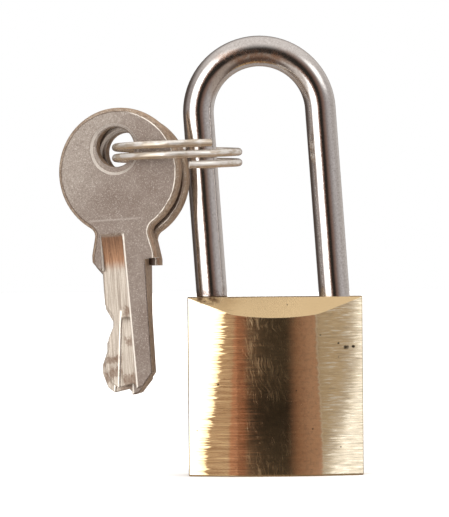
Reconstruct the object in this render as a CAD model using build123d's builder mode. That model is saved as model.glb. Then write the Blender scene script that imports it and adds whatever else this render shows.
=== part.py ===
from build123d import *
import math
import os

# Millimetres. +X is the photograph's right, -Y the front, +Z up; the origin is under the body's middle.

# Body: a block with flat sides, crowned faces and a bevelled top.
body_width = 25.0
body_height = 25.5
side_thickness = 8.0
flank_thickness = 12.8
crown_thickness = 13.8
crown_width = 12.4
flank_blend = 6.0
bevel_angle = 45.0
edge_break = 0.3
mouth_chamfer = 0.2

# Shackle: a bent rod that stands unlocked and leans by the play of its legs in their bores.
rod_diameter = 4.4
leg_spacing = 17.5
shackle_height = 37.5
shackle_lean = 3.8
lean_shift = -0.2
lift_travel = 5.0
heel_reach = 8.6
collar_diameter = 3.4
collar_height = 1.2
neck_diameter = 2.5
toe_chamfer = 0.1
lip_height = 0.75
nose_height = 2.0
notch_floor = 0.65
notch_side = 0.15

# Plug: the turning cylinder, stored at the angle where the bolt is drawn.
plug_diameter = 9.6
plug_face = 0.15
plug_chamfer = 0.15
plug_wall = 0.95
plug_turn = 85.0
keyway_end = 0.7
spine_wall = 0.9
groove_height = 1.3
groove_depth = 0.7
stub_diameter = 1.4
stub_throw = 1.15
stub_reach = 0.3
pin_hole_floor = -0.4

# Pin tumblers: one row on the toe side.
pin_count = 4
pin_diameter = 2.0
pin_first = 5.7
pin_pitch = 3.1
pin_tip = 0.3
cut_heights = (6.8, 5.65, 6.6, 7.3)
driver_length = 2.5
driver_spring_length = 3.15

# Bolt: a round bar with a flat nose on its back half, so that the toe's notch faces away from the front.
bolt_diameter = 3.5
bolt_nose_tip = -6.4
bolt_front = -4.8
bolt_rear = 2.6
nose_from = 0.35
nose_to = 1.5
bolt_bore_end = 5.8
bore_plug_length = 1.2

# Cross pins that keep the plug and the heel in the body.
cross_pin_diameter = 1.2
plug_pin_height = 2.2
plug_pin_inner = -1.6
plug_pin_outer = 6.45
heel_pin_inner = 5.6

# Springs: wire diameter, mean radius and turns.
shackle_spring_wire = 0.45
shackle_spring_radius = 1.55
shackle_spring_turns = 3.5
bolt_spring_wire = 0.3
bolt_spring_radius = 1.3
bolt_spring_turns = 3.0
driver_spring_wire = 0.25
driver_spring_radius = 0.7
driver_spring_turns = 3.5

# Split ring: round wire in two turns, its ends lapping at the front.
ring_diameter = 18.7
ring_wire = 1.1
ring_pitch = 1.52
ring_turns = 2.06
ring_start = -57.0
ring_top = 47.6
ring_left = -23.15

# Keys: a round bow, a short neck with shoulders, and a cut blade that is milled on its front in two strokes.
key_thickness = 1.9
bow_diameter = 18.4
bow_drop = 3.6
hole_diameter = 5.7
hole_offset = 0.3
hole_round = 0.2
rim_diameter = 7.35
rim_shift = (-0.05, -0.3)
rim_depth = 0.3
rim_slope = 45.0
neck_width = 8.6
neck_blend = 1.4
shoulder_width = 9.9
neck_drop = 12.6
shoulder_drop = 15.3
shoulder_slope = 1.4
stop_drop = 16.2
blade_height = 7.5
blade_spine = 3.2
blade_length = 18.5
cut_flat = 1.2
tip_round = 1.0
tip_rise = 0.3
tip_notch = 0.8
tip_bevel = 2.2
bow_round = 0.65
blade_round = 0.15
mill_depth = 0.8
mill_edge = 0.0
mill_width = 3.35
mill_slant = 0.03
mill_drop = 12.3
mill_run_out = 5.2
ward_depth = 0.95
ward_drop = 23.2
ward_run_out = 2.0
ward_ridge = -1.1
ward_slant = -0.1
key_yaw = 19.0
key_gap = 0.25
front_key_lean = 3.4
front_key_shift = 0.55
front_key_height = 47.14
rear_key_lean = 0.0
rear_key_shift = 1.2
rear_key_height = 46.34

# How far a cut runs past the surface, and on how many points per turn a wire's gap to itself is measured.
cut_past = 1.0
gap_point_count = 48

# Clearances.
leg_clearance = 0.25
turn_clearance = 0.1
slide_clearance = 0.1
pin_clearance = 0.05
stub_clearance = 0.08
notch_clearance = 0.15
keyway_clearance = 0.1
press_clearance = 0.01
seat_clearance = 0.05
stop_clearance = 0.12

# Worked-out places.
half_width = body_width / 2
half_side = side_thickness / 2
half_crown = crown_thickness / 2
rod_radius = rod_diameter / 2
leg_bore_radius = rod_radius + leg_clearance
half_spacing = leg_spacing / 2
lean = math.radians(shackle_lean)
toe_tip = (seat_clearance + (half_spacing + rod_radius) * math.sin(lean)) / math.cos(lean)
toe_rise = (toe_tip - lift_travel) * math.cos(lean) - half_spacing * math.sin(lean)
toe_floor = body_height + toe_rise - 2 * stop_clearance - rod_radius * math.sin(lean)
notch_half = nose_height / 2 + notch_clearance
bolt_height = body_height + toe_rise + lip_height + notch_half
neck_top = half_spacing * math.tan(lean) + leg_clearance
heel_rise = body_height + half_spacing * math.sin(lean)
collar_level = heel_rise - (heel_reach - collar_height) * math.cos(lean)
heel_end = heel_rise - heel_reach * math.cos(lean) - collar_diameter / 2 * math.sin(lean)
spring_solid = (shackle_spring_turns + 2) * shackle_spring_wire
heel_floor = heel_end - lift_travel - spring_solid
cross_pin_radius = cross_pin_diameter / 2
heel_pin_height = collar_level + stop_clearance + cross_pin_radius
heel_pin_offset = neck_diameter / 2 + stub_clearance + cross_pin_radius
bolt_radius = bolt_diameter / 2
bolt_bore_radius = bolt_radius + slide_clearance
plug_radius = plug_diameter / 2
plug_bore_radius = plug_radius + turn_clearance
plug_bore_top = bolt_height - bolt_bore_radius - plug_wall
plug_top = plug_bore_top - 2 * turn_clearance
keyway_top = plug_top - keyway_end
plug_neck_radius = plug_radius - groove_depth
plug_pin_offset = plug_neck_radius + seat_clearance + cross_pin_radius
stub_angle = -(180 - plug_turn) / 2
stub_radius = stub_diameter / 2
stub_top = bolt_height + stub_reach
bolt_travel = 2 * stub_throw * math.cos(math.radians(stub_angle))
pin_radius = pin_diameter / 2
chamber_radius = pin_radius + slide_clearance
pin_reach = plug_radius - pin_clearance
driver_inner = plug_radius + pin_clearance
driver_outer = driver_inner + driver_length
chamber_plug_inner = driver_outer + driver_spring_length
pin_heights = [pin_first + pin_pitch * i for i in range(pin_count)]
key_spine_in_plug = plug_radius - spine_wall
ring_radius = (ring_diameter - ring_wire) / 2
ring_centre = ring_left + ring_diameter / 2

# The lean frame: x along the line of the legs, z up the legs.
lean_x = (math.cos(lean), 0, math.sin(lean))
lean_z = (-math.sin(lean), 0, math.cos(lean))
lean_plane = Plane((lean_shift, 0, body_height), x_dir=lean_x, z_dir=lean_z)
lean_front = Plane(lean_plane.origin, x_dir=lean_x, z_dir=(0, -1, 0))

# The plug frame: its x points away from the key pins, as the plug is stored.
turn = math.radians(plug_turn)
plug_x = (math.cos(turn), math.sin(turn), 0)
plug_plane = Plane((0, 0, 0), x_dir=plug_x, z_dir=(0, 0, 1))


def round_plane(axis, along, across, height):
    """A plane square to the X or Y axis, at a place along it, for round holes and pins."""
    if axis == "X":
        return Plane((along, across, height), x_dir=(0, 1, 0), z_dir=(1, 0, 0))
    return Plane((across, along, height), x_dir=(1, 0, 0), z_dir=(0, 1, 0))


def pin_plane(reach, height):
    """A plane across a key pin of the stored plug, looking in towards the plug's axis."""
    origin = plug_plane.from_local_coords(Vector(-reach, 0, height))
    return Plane(origin, x_dir=(0, 0, 1), z_dir=plug_x)


def coil_point(plane, radius, rise, angle):
    """A helix's point and direction; it runs anticlockwise and climbs the plane's z by rise per radian."""
    local = Vector(radius * math.cos(angle), radius * math.sin(angle), rise * angle)
    along = Vector(-radius * math.sin(angle), radius * math.cos(angle), rise)
    point = plane.from_local_coords(local)
    direction = plane.from_local_coords(along) - plane.origin
    return point, direction.normalized()


def add_coil(plane, radius, pitch, turns):
    """Draws a helix about the plane's z axis, from its x axis on, as two tangent arcs per quarter turn."""
    rise = pitch / (2 * math.pi)
    steps = math.ceil(turns * 4)
    step = turns * 2 * math.pi / steps
    for i in range(steps):
        first, leaving = coil_point(plane, radius, rise, i * step)
        last, arriving = coil_point(plane, radius, rise, (i + 1) * step)
        chord = last - first
        spread = 2 * (1 - leaving.dot(arriving))
        forward = 2 * chord.dot(leaving + arriving)
        handle = (math.sqrt(forward**2 + 4 * spread * chord.dot(chord)) - forward) / (2 * spread)
        early = first + leaving * handle
        late = last - arriving * handle
        middle = (early + late) * 0.5
        TangentArc(first, middle, tangent=leaving)
        TangentArc(middle, last, tangent=late - early)


def least_gap(path, wire, turns):
    """The least gap between a wound wire's turns, measured on points at least half a turn apart."""
    count = math.ceil(turns * gap_point_count)
    points = [path @ (i / count) for i in range(count + 1)]
    apart = gap_point_count // 2
    return min((p - q).length for i, p in enumerate(points) for q in points[i + apart :]) - wire


with BuildPart() as lock_body:
    with BuildSketch():
        with BuildLine():
            front = Polyline(
                (-crown_width / 2, -flank_thickness / 2),
                (-half_width, -half_side),
                (-half_width, half_side),
                (-crown_width / 2, flank_thickness / 2),
            )
            ThreePointArc(front @ 1, (0, half_crown), (crown_width / 2, flank_thickness / 2))
            Polyline(
                (crown_width / 2, flank_thickness / 2),
                (half_width, half_side),
                (half_width, -half_side),
                (crown_width / 2, -flank_thickness / 2),
            )
            ThreePointArc((crown_width / 2, -flank_thickness / 2), (0, -half_crown), front @ 0)
        outline = make_face()
        corners = outline.vertices().group_by(lambda v: abs(v.X))[0]
        fillet(corners, flank_blend)
    extrude(amount=body_height)
    bottom = lock_body.faces().sort_by(Axis.Z)[0].edges()
    uprights = lock_body.edges().filter_by(Axis.Z).group_by(lambda e: abs(e.center().X))[-1]
    fillet(bottom + uprights, edge_break)
    # The two bevels start level with the sides' edges and cut only the crown.
    bevel_reach = half_crown - half_side + cut_past
    bevel_drop = bevel_reach * math.tan(math.radians(bevel_angle))
    with BuildSketch(Plane.YZ):
        for side in (-1, 1):
            with BuildLine():
                Polyline(
                    (side * half_side, body_height),
                    (side * (half_side + bevel_reach), body_height),
                    (side * (half_side + bevel_reach), body_height - bevel_drop),
                    close=True,
                )
            make_face()
    extrude(amount=half_width + cut_past, both=True, mode=Mode.SUBTRACT)
    # Bores for the toe and the heel.
    for x, floor in ((-half_spacing, toe_floor), (half_spacing, heel_floor)):
        with BuildSketch(Plane((x, 0, floor))):
            Circle(leg_bore_radius)
        extrude(amount=body_height - floor, mode=Mode.SUBTRACT)
    # Bore for the plug, and the way up for its stub.
    with BuildSketch():
        Circle(plug_bore_radius)
    extrude(amount=plug_bore_top, mode=Mode.SUBTRACT)
    with BuildSketch():
        Circle(stub_throw + stub_radius + notch_clearance)
    extrude(amount=bolt_height, mode=Mode.SUBTRACT)
    levels = lock_body.faces().sort_by(Axis.Z)
    mouths = levels[0].inner_wires() + levels[-1].inner_wires()
    chamfer(mouths.edges(), mouth_chamfer)
    # Cross bore for the bolt and chambers for the pins, all drilled from the toe side.
    with BuildSketch(round_plane("X", -half_width, 0, bolt_height)):
        Circle(bolt_bore_radius)
    extrude(amount=half_width + bolt_bore_end, mode=Mode.SUBTRACT)
    for height in pin_heights:
        with BuildSketch(round_plane("X", -half_width, 0, height)):
            Circle(chamber_radius)
        extrude(amount=half_width - plug_radius / 2, mode=Mode.SUBTRACT)
    # Holes for the two cross pins.
    with BuildSketch(round_plane("Y", plug_pin_inner, plug_pin_offset, plug_pin_height)):
        Circle(cross_pin_radius)
    extrude(amount=crown_thickness, mode=Mode.SUBTRACT)
    with BuildSketch(round_plane("X", heel_pin_inner, heel_pin_offset, heel_pin_height)):
        Circle(cross_pin_radius)
    extrude(amount=half_width, mode=Mode.SUBTRACT)

with BuildPart() as shackle:
    bow_centre = shackle_height - half_spacing - rod_radius
    with BuildLine(lean_front) as rod_path:
        toe_leg = Line((-half_spacing, toe_tip - cut_past), (-half_spacing, bow_centre))
        bow = ThreePointArc(
            toe_leg @ 1,
            (0, bow_centre + half_spacing),
            (half_spacing, bow_centre),
        )
        Line(bow @ 1, (half_spacing, -neck_top))
    with BuildSketch(lean_plane.offset(toe_tip - cut_past)):
        with Locations((-half_spacing, 0)):
            Circle(rod_radius)
    sweep(path=rod_path.wire())
    # The toe is ground level with the body's top, which it clears.
    with BuildSketch(Plane((-half_spacing, 0, body_height + seat_clearance))):
        Circle(rod_diameter)
    extrude(amount=-rod_diameter, mode=Mode.SUBTRACT)
    toe_end = shackle.faces().filter_by(GeomType.PLANE).sort_by(Axis.X)[0]
    chamfer(toe_end.edges(), toe_chamfer)
    # The heel's neck and its collar.
    for radius, top, foot in (
        (neck_diameter / 2, neck_top, heel_reach),
        (collar_diameter / 2, heel_reach - collar_height, heel_reach),
    ):
        with BuildSketch(lean_plane.offset(-foot)):
            with Locations((half_spacing, 0)):
                Circle(radius)
        extrude(amount=foot - top)
    # The toe's notch, cut into its back and inner side for the bolt's nose.
    notch_level = toe_tip + (lip_height + notch_half) / math.cos(lean)
    with BuildSketch(lean_plane.offset(notch_level - notch_half)):
        with Locations((notch_floor - half_spacing, notch_side)):
            Rectangle(rod_radius, rod_radius, align=(Align.MIN, Align.MIN))
    extrude(amount=2 * notch_half, mode=Mode.SUBTRACT)

with BuildPart() as shackle_spring:
    spring_base = heel_floor + seat_clearance + shackle_spring_wire / 2
    spring_rise = heel_end - 2 * seat_clearance - shackle_spring_wire / 2 - spring_base
    shackle_spring_pitch = spring_rise / shackle_spring_turns
    shackle_spring_plane = Plane((half_spacing, 0, spring_base))
    with BuildLine() as shackle_spring_path:
        add_coil(shackle_spring_plane, shackle_spring_radius, shackle_spring_pitch, shackle_spring_turns)
    with BuildSketch(Plane(shackle_spring_path.wire() @ 0, z_dir=shackle_spring_path.wire() % 0)):
        Circle(shackle_spring_wire / 2)
    sweep(path=shackle_spring_path.wire())

with BuildPart() as shackle_retaining_pin:
    with BuildSketch(round_plane("X", heel_pin_inner, heel_pin_offset, heel_pin_height)):
        Circle(cross_pin_radius - press_clearance)
    extrude(amount=half_width - heel_pin_inner)

with BuildPart() as plug:
    groove_foot = plug_pin_height - groove_height / 2
    with BuildSketch(Plane.XZ):
        with BuildLine():
            Polyline(
                (0, plug_face),
                (plug_radius - plug_chamfer, plug_face),
                (plug_radius, plug_face + plug_chamfer),
                (plug_radius, groove_foot),
                (plug_neck_radius, groove_foot),
                (plug_neck_radius, groove_foot + groove_height),
                (plug_radius, groove_foot + groove_height),
                (plug_radius, plug_top),
                (0, plug_top),
                close=True,
            )
        make_face()
    revolve(axis=Axis.Z)
    # The eccentric stub that carries the bolt.
    with BuildSketch(Plane((0, 0, plug_top))):
        with PolarLocations(stub_throw, 1, start_angle=stub_angle):
            Circle(stub_radius)
    extrude(amount=stub_top - plug_top)
    # The keyway: full width round the key's spine, stepped where the blade is milled.
    spine_edge = key_spine_in_plug + keyway_clearance
    step_edge = key_spine_in_plug - blade_spine + mill_edge - keyway_clearance
    tip_edge = key_spine_in_plug - blade_height - keyway_clearance
    keyway_half = key_thickness / 2 + keyway_clearance
    with BuildSketch(plug_plane):
        with BuildLine():
            Polyline(
                (spine_edge, -keyway_half),
                (spine_edge, keyway_half),
                (step_edge, keyway_half),
                (step_edge, keyway_half - mill_depth),
                (tip_edge, keyway_half - mill_depth),
                (tip_edge, -keyway_half),
                close=True,
            )
        make_face()
    extrude(amount=keyway_top, mode=Mode.SUBTRACT)
    for height in pin_heights:
        with BuildSketch(pin_plane(plug_radius + cut_past, height)):
            Circle(pin_radius + pin_clearance)
        extrude(amount=plug_radius + cut_past + pin_hole_floor, mode=Mode.SUBTRACT)

with BuildPart() as plug_retaining_pin:
    with BuildSketch(round_plane("Y", plug_pin_inner, plug_pin_offset, plug_pin_height)):
        Circle(cross_pin_radius - press_clearance)
    extrude(amount=plug_pin_outer - plug_pin_inner)

with BuildPart() as bolt:
    with BuildSketch(round_plane("X", bolt_front, 0, bolt_height)):
        Circle(bolt_radius)
    extrude(amount=bolt_rear - bolt_front)
    with BuildSketch(round_plane("X", bolt_nose_tip, (nose_from + nose_to) / 2, bolt_height)):
        Rectangle(nose_to - nose_from, nose_height)
    extrude(amount=bolt_front - bolt_nose_tip)
    # The slot gives the stub room on the toe side, so that a closing toe can push the bolt back.
    stub_x = stub_throw * math.cos(math.radians(stub_angle))
    slot_right = stub_x + stub_radius + stub_clearance
    slot_left = stub_x - stub_radius - stub_clearance - bolt_travel
    with BuildSketch(Plane((0, 0, bolt_height - bolt_radius))):
        with Locations(((slot_left + slot_right) / 2, 0)):
            Rectangle(slot_right - slot_left, bolt_diameter)
    extrude(amount=bolt_radius + stub_reach + notch_clearance, mode=Mode.SUBTRACT)

with BuildPart() as bolt_spring:
    bolt_spring_first = bolt_rear + seat_clearance + bolt_spring_wire / 2
    bolt_spring_last = bolt_bore_end - seat_clearance - bolt_spring_wire / 2
    bolt_spring_pitch = (bolt_spring_last - bolt_spring_first) / bolt_spring_turns
    bolt_spring_plane = round_plane("X", bolt_spring_first, 0, bolt_height)
    with BuildLine() as bolt_spring_path:
        add_coil(bolt_spring_plane, bolt_spring_radius, bolt_spring_pitch, bolt_spring_turns)
    with BuildSketch(Plane(bolt_spring_path.wire() @ 0, z_dir=bolt_spring_path.wire() % 0)):
        Circle(bolt_spring_wire / 2)
    sweep(path=bolt_spring_path.wire())

with BuildPart() as bolt_bore_plug:
    with BuildSketch(round_plane("X", -half_width, 0, bolt_height)):
        Circle(bolt_bore_radius - press_clearance)
    extrude(amount=bore_plug_length)

with BuildPart() as chamber_plugs:
    for height in pin_heights:
        with BuildSketch(round_plane("X", -half_width, 0, height)):
            Circle(chamber_radius - press_clearance)
        extrude(amount=half_width - chamber_plug_inner)


def make_key_pin(height, cut):
    """A key pin whose inner end rests on the key's cut, chamfered at that end."""
    with BuildPart() as pin:
        with BuildSketch(pin_plane(pin_reach, height)):
            Circle(pin_radius)
        extrude(amount=pin_reach + key_spine_in_plug - cut)
        inner = pin.edges().filter_by(GeomType.CIRCLE).sort_by_distance((0, 0, height))[0]
        chamfer(inner, pin_tip)
    return pin.part


def make_driver(height):
    """A driver pin between the plug and its spring."""
    with BuildPart() as driver:
        with BuildSketch(round_plane("X", -driver_outer, 0, height)):
            Circle(pin_radius)
        extrude(amount=driver_length)
    return driver.part


def make_driver_spring(height):
    """A spring between a driver pin and its chamber's plug."""
    first = -chamber_plug_inner + seat_clearance + driver_spring_wire / 2
    last = -driver_outer - seat_clearance - driver_spring_wire / 2
    pitch = (last - first) / driver_spring_turns
    with BuildPart() as spring:
        with BuildLine() as path:
            add_coil(round_plane("X", first, 0, height), driver_spring_radius, pitch, driver_spring_turns)
        with BuildSketch(Plane(path.wire() @ 0, z_dir=path.wire() % 0)):
            Circle(driver_spring_wire / 2)
        sweep(path=path.wire())
    return spring.part


def make_stroke(face, depth, start, run_out, corners, foot):
    """A milling stroke on a key's front: the area between the corners, cut to a depth down to the foot."""
    front = key_thickness / 2
    side = Plane(face.origin, x_dir=face.z_dir, z_dir=face.x_dir)
    with BuildPart() as stroke:
        with BuildSketch(face.offset(front - depth)):
            with BuildLine():
                Polyline(*corners, close=True)
            make_face()
        extrude(amount=depth)
        # The cutter's round leaves a curved run-out where the stroke starts.
        with BuildSketch(side):
            with BuildLine():
                ramp = TangentArc((front - depth, start + run_out), (front, start), tangent=(0, -1))
                Polyline(ramp @ 1, (front, foot), (front - depth, foot), ramp @ 0)
            make_face()
        extrude(amount=bow_diameter, both=True, mode=Mode.INTERSECT)
    return stroke.part


def make_key(shift, offset, height, lean_angle):
    """A key in its own frame: x across the blade from its middle line, y up to the bow from the hole."""
    yaw = math.radians(key_yaw)
    tilt = math.radians(lean_angle)
    flat_x = Vector(math.cos(yaw), -math.sin(yaw), 0)
    facing = Vector(-math.sin(yaw), -math.cos(yaw), 0)
    across = flat_x * math.cos(tilt) + Vector(0, 0, math.sin(tilt))
    hole = Vector(ring_centre - ring_radius, 0, height) + flat_x * shift + facing * offset
    face = Plane(hole + across * hole_offset, x_dir=across, z_dir=facing)

    def drop(edge):
        """How far an edge's middle lies below the hole."""
        return -face.to_local_coords(edge.center()).Y

    def mill_line(level):
        """The milled side's edge on the face, at a drop."""
        return (mill_edge + (level - mill_drop) * mill_slant, -level)

    edge = blade_spine - blade_height
    tip_drop = stop_drop + blade_length
    slope_drop = stop_drop + shoulder_slope
    foot = tip_drop + cut_past
    tip_edge = mill_line(tip_drop)[0]
    bitting = [(blade_spine - cut_heights[0], -slope_drop)]
    for cut, pin_height in zip(cut_heights, pin_heights):
        station = stop_drop + pin_height - plug_face
        bitting += [(blade_spine - cut, -station + side * cut_flat / 2) for side in (1, -1)]
    mill_left = mill_edge - mill_width
    milled = [
        (mill_left, -mill_drop),
        (mill_left, -slope_drop),
        (edge - cut_past, -slope_drop),
        (edge - cut_past, -foot),
    ]
    ridge = [(ward_ridge, -ward_drop), (ward_ridge + (foot - ward_drop) * ward_slant, -foot)]
    strokes = []
    for depth, start, run_out, left in (
        (mill_depth, mill_drop, mill_run_out, milled),
        (ward_depth, ward_drop, ward_run_out, ridge),
    ):
        right = [mill_line(foot), mill_line(start)]
        strokes.append(make_stroke(face, depth, start, run_out, left + right, foot))
    with BuildPart() as key:
        with BuildSketch(face) as outline:
            with Locations((0, -bow_drop)):
                Circle(bow_diameter / 2)
            with BuildLine():
                Polyline(
                    (-neck_width / 2, -bow_drop),
                    (-neck_width / 2, -neck_drop),
                    (-shoulder_width / 2, -shoulder_drop),
                    (-shoulder_width / 2, -stop_drop),
                    *bitting,
                    (edge + tip_round, tip_round - tip_drop),
                    (edge + 2 * tip_round, tip_rise - tip_drop),
                    (tip_edge - tip_notch, tip_notch - tip_drop),
                    (tip_edge, -tip_drop),
                    (tip_edge + tip_round, tip_rise - tip_drop),
                    (blade_spine, tip_bevel - tip_drop),
                    (blade_spine, -stop_drop),
                    (shoulder_width / 2, -stop_drop),
                    (shoulder_width / 2, -shoulder_drop),
                    (neck_width / 2, -neck_drop),
                    (neck_width / 2, -bow_drop),
                    close=True,
                )
            make_face()
            fillet(outline.vertices().sort_by(Axis.Y)[-2:], neck_blend)
        extrude(amount=key_thickness / 2, both=True)
        # The edges, well rounded from the bow to the shoulders, less so along the blade.
        rims = key.faces().filter_by(face).edges()
        fillet(rims.filter_by(lambda e: drop(e) < stop_drop - blade_round), bow_round)
        rims = key.faces().filter_by(face).edges()
        fillet(rims.filter_by(lambda e: drop(e) > stop_drop + blade_round), blade_round)
        # The hole and the dish struck round it, then the blade's milled side.
        with BuildSketch(face.offset(key_thickness / 2)):
            with Locations((rim_shift[0] - hole_offset, rim_shift[1])):
                Circle(rim_diameter / 2)
        extrude(amount=-rim_depth, taper=rim_slope, mode=Mode.SUBTRACT)
        with BuildSketch(face):
            with Locations((-hole_offset, 0)):
                Circle(hole_diameter / 2)
        extrude(amount=key_thickness / 2, both=True, mode=Mode.SUBTRACT)
        circles = key.edges().filter_by(GeomType.CIRCLE)
        fillet(circles.filter_by(lambda e: math.isclose(e.radius, hole_diameter / 2)), hole_round)
        add(strokes, mode=Mode.SUBTRACT)
    return key.part


key_pins = [make_key_pin(height, cut) for height, cut in zip(pin_heights, cut_heights)]
driver_pins = [make_driver(height) for height in pin_heights]
driver_springs = [make_driver_spring(height) for height in pin_heights]

with BuildPart() as split_ring:
    # The wire descends clockwise, so its coil is drawn on a plane that looks down.
    opening = math.radians(ring_start)
    ring_x = (math.cos(opening), math.sin(opening), 0)
    ring_plane = Plane((ring_centre, 0, ring_top), x_dir=ring_x, z_dir=(0, 0, -1))
    with BuildLine() as ring_path:
        add_coil(ring_plane, ring_radius, ring_pitch, ring_turns)
    with BuildSketch(Plane(ring_path.wire() @ 0, z_dir=ring_path.wire() % 0)):
        Circle(ring_wire / 2)
    sweep(path=ring_path.wire())

key_offset = (key_thickness + key_gap) / 2
key_front = make_key(front_key_shift, key_offset, front_key_height, front_key_lean)
key_rear = make_key(rear_key_shift, -key_offset, rear_key_height, rear_key_lean)

nodes = {
    "lock_body": lock_body.part,
    "shackle": shackle.part,
    "shackle_spring": shackle_spring.part,
    "shackle_retaining_pin": shackle_retaining_pin.part,
    "plug": plug.part,
    "plug_retaining_pin": plug_retaining_pin.part,
    "bolt": bolt.part,
    "bolt_spring": bolt_spring.part,
    "bolt_bore_plug": bolt_bore_plug.part,
    "chamber_plugs": chamber_plugs.part,
    "split_ring": split_ring.part,
    "key_front": key_front,
    "key_rear": key_rear,
}
for i in range(pin_count):
    nodes[f"key_pin_{i + 1}"] = key_pins[i]
    nodes[f"driver_pin_{i + 1}"] = driver_pins[i]
    nodes[f"driver_spring_{i + 1}"] = driver_springs[i]

os.makedirs("parts", exist_ok=True)
for name, part in nodes.items():
    part.label = name
    export_step(part, f"parts/{name}.step")

wound = {
    "shackle_spring": (shackle_spring_path.wire(), shackle_spring_wire, shackle_spring_turns),
    "bolt_spring": (bolt_spring_path.wire(), bolt_spring_wire, bolt_spring_turns),
    "split_ring": (ring_path.wire(), ring_wire, ring_turns),
}
for name, (path, wire, turns) in wound.items():
    print(name, "least gap to itself", round(least_gap(path, wire, turns), 3))
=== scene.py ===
import math
from types import SimpleNamespace

import bpy
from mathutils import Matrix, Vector


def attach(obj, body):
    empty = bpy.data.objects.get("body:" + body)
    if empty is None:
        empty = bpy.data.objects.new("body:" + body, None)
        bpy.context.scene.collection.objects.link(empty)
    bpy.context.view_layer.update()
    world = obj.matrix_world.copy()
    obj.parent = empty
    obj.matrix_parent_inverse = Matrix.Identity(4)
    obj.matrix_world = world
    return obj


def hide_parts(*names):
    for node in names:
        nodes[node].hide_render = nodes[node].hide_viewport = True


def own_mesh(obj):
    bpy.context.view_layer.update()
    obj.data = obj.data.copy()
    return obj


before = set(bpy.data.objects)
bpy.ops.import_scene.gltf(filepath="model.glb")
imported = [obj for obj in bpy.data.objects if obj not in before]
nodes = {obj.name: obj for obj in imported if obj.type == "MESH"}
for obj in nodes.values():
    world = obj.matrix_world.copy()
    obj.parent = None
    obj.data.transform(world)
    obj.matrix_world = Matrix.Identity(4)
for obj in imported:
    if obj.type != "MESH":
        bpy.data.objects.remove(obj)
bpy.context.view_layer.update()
scene = bpy.context.scene

# Lengths are millimetres in the part's own frame, and colours are linear, unless said otherwise.
# In the classes of numbers:
#   a step is where a change starts and ends, then what it goes from and to, if not 0 and 1;
#   a band is where it starts and ends, then how far either end is softened;
#   a noise is its scale, detail, roughness and seed;
#   a stretch is what each part of a place is multiplied by before noise is made from it;
#   EDGE is the radius by which shading rounds the edges over, and WORN is how far the normal
#   has to turn there for full wear;
#   COAT is how dense a colour is laid over the one below.
MM = 0.001
TUMBLERS = range(1, 5)
NOISE_MEAN = 0.5
EDGE_SAMPLES = 6

# The Mix node's sockets for colours, which have the same names as those for other kinds.
MIX_FIRST, MIX_SECOND, MIX_RESULT = 6, 7, 2

# Where wear starts, as WORN counts it, and the colour of brass that is worn bare.
WEAR_START = 0.01
WORN_BRASS = (0.95, 0.80, 0.55)


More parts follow.
